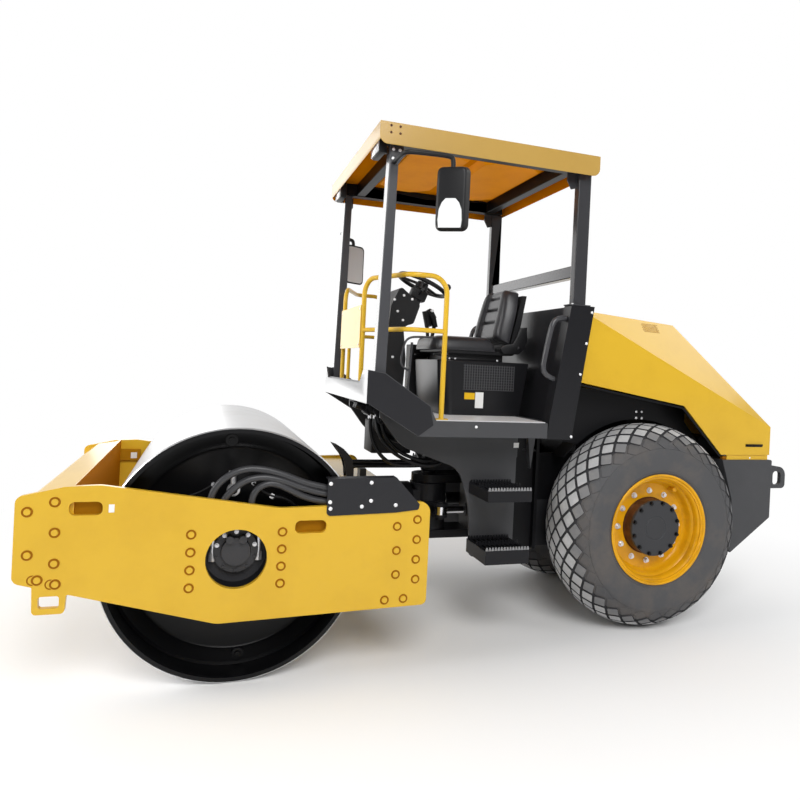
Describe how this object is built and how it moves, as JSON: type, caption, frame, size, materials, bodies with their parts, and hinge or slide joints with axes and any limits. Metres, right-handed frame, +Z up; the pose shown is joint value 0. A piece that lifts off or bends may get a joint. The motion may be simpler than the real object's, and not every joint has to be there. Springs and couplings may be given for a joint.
{
  "type": "single drum road roller",
  "caption": "Articulated ride-on soil roller: smooth steel drum in a front frame, two diamond-tread rear tyres, canopy, seat and lifting engine hood.",
  "frame": {"origin": "on the ground, in the middle of the machine's length and width", "axes": "+X forward to the drum, +Y to the machine's left, +Z up"},
  "size_m": [4.517, 1.8438, 2.83],
  "materials": {
    "yellow_paint": "satin enamel, lightly worn",
    "dark_grey_paint": "satin enamel",
    "black_paint": "gloss enamel",
    "light_grey_paint": "satin enamel",
    "rolled_steel": "rolled bright",
    "black_steel": "satin enamel",
    "cast_parts": "painted casting",
    "tread_plate": "raised pattern",
    "bright_rod": "polished",
    "tyre_rubber": "dusty rubber",
    "seat_vinyl": "moulded vinyl",
    "black_plastic": "grained",
    "rubber_hose": "smooth cover",
    "lamp_glass": "clear lens"
  },
  "bodies": {
    "rear_frame": {"rear_frame": "dark_grey_paint", "tail_block": "dark_grey_paint", "rear_axle": "cast_parts", "engine": "cast_parts", "platform": "dark_grey_paint", "floor_treads": "tread_plate", "steps": "dark_grey_paint", "bulkhead": "dark_grey_paint", "front_posts": "dark_grey_paint", "rear_posts": "dark_grey_paint", "canopy_beams": "black_paint", "canopy": "yellow_paint", "work_lamps": "lamp_glass", "seat_pod": "black_paint", "seat_shell": "black_plastic", "seat_cushion": "seat_vinyl", "seat_back": "seat_vinyl", "console": "black_plastic", "steering_wheel": "black_plastic", "control_console": "black_plastic", "grab_handles": "black_paint", "mirrors": "black_plastic", "rear_hoses": "rubber_hose", "handrail_left": "yellow_paint", "handrail_right": "yellow_paint", "rail_panel": "yellow_paint"},
    "front_frame": {"side_plate_left": "yellow_paint", "side_plate_right": "yellow_paint", "front_beam": "yellow_paint", "rear_beam": "yellow_paint", "drum_supports": "cast_parts", "centre_joint": "cast_parts", "hose_cover": "black_steel", "hose_guide": "black_steel", "hub_hoses": "rubber_hose", "front_hoses": "rubber_hose"},
    "drum": {"drum": "rolled_steel"},
    "wheel_left": {"tyre_left": "tyre_rubber", "rim_left": "yellow_paint", "hub_left": "cast_parts"},
    "wheel_right": {"tyre_right": "tyre_rubber", "rim_right": "yellow_paint", "hub_right": "cast_parts"},
    "hood": {"hood": "yellow_paint"},
    "steer_barrel_left": {"steer_barrel_left": "black_paint"},
    "steer_barrel_right": {"steer_barrel_right": "black_paint"},
    "steer_rod_left": {"steer_rod_left": "bright_rod"},
    "steer_rod_right": {"steer_rod_right": "bright_rod"}
  },
  "joints": [
    {"name": "articulation", "type": "hinge", "parent": "rear_frame", "child": "front_frame", "pos_m": [0.1215, 0, 0.665], "axis": [0, 0, 1], "range_deg": [-33, 33]},
    {"name": "drum_spin", "type": "hinge", "parent": "front_frame", "child": "drum", "pos_m": [1.3415, 0, 0.61], "axis": [0, 1, 0], "continuous": true},
    {"name": "wheel_left_spin", "type": "hinge", "parent": "rear_frame", "child": "wheel_left", "pos_m": [-1.1385, 0.53, 0.632], "axis": [0, 1, 0], "continuous": true},
    {"name": "wheel_right_spin", "type": "hinge", "parent": "rear_frame", "child": "wheel_right", "pos_m": [-1.1385, -0.53, 0.632], "axis": [0, 1, 0], "continuous": true},
    {"name": "hood_hinge", "type": "hinge", "parent": "rear_frame", "child": "hood", "pos_m": [-0.6585, 0, 1.925], "axis": [0, 1, 0], "range_deg": [0, 55]},
    {"name": "barrel_left_swing", "type": "hinge", "parent": "rear_frame", "child": "steer_barrel_left", "pos_m": [-0.4085, 0.19, 0.665], "axis": [0, 0, 1], "range_deg": [-2.97, 2.97]},
    {"name": "barrel_right_swing", "type": "hinge", "parent": "rear_frame", "child": "steer_barrel_right", "pos_m": [-0.4085, -0.19, 0.665], "axis": [0, 0, 1], "range_deg": [-2.97, 2.97]},
    {"name": "rod_left_slide", "type": "slide", "parent": "steer_barrel_left", "child": "steer_rod_left", "axis": [1, 0, 0], "range_m": [-0.1042, 0.1042]},
    {"name": "rod_right_slide", "type": "slide", "parent": "steer_barrel_right", "child": "steer_rod_right", "axis": [1, 0, 0], "range_m": [-0.1042, 0.1042]}
  ],
  "couplings": [
    {"joint": "barrel_left_swing", "follows": "articulation", "ratio": -0.0808},
    {"joint": "barrel_right_swing", "follows": "articulation", "ratio": -0.0808},
    {"joint": "rod_left_slide", "follows": "articulation", "m_per_rad": -0.1774},
    {"joint": "rod_right_slide", "follows": "articulation", "m_per_rad": 0.1774}
  ]
}
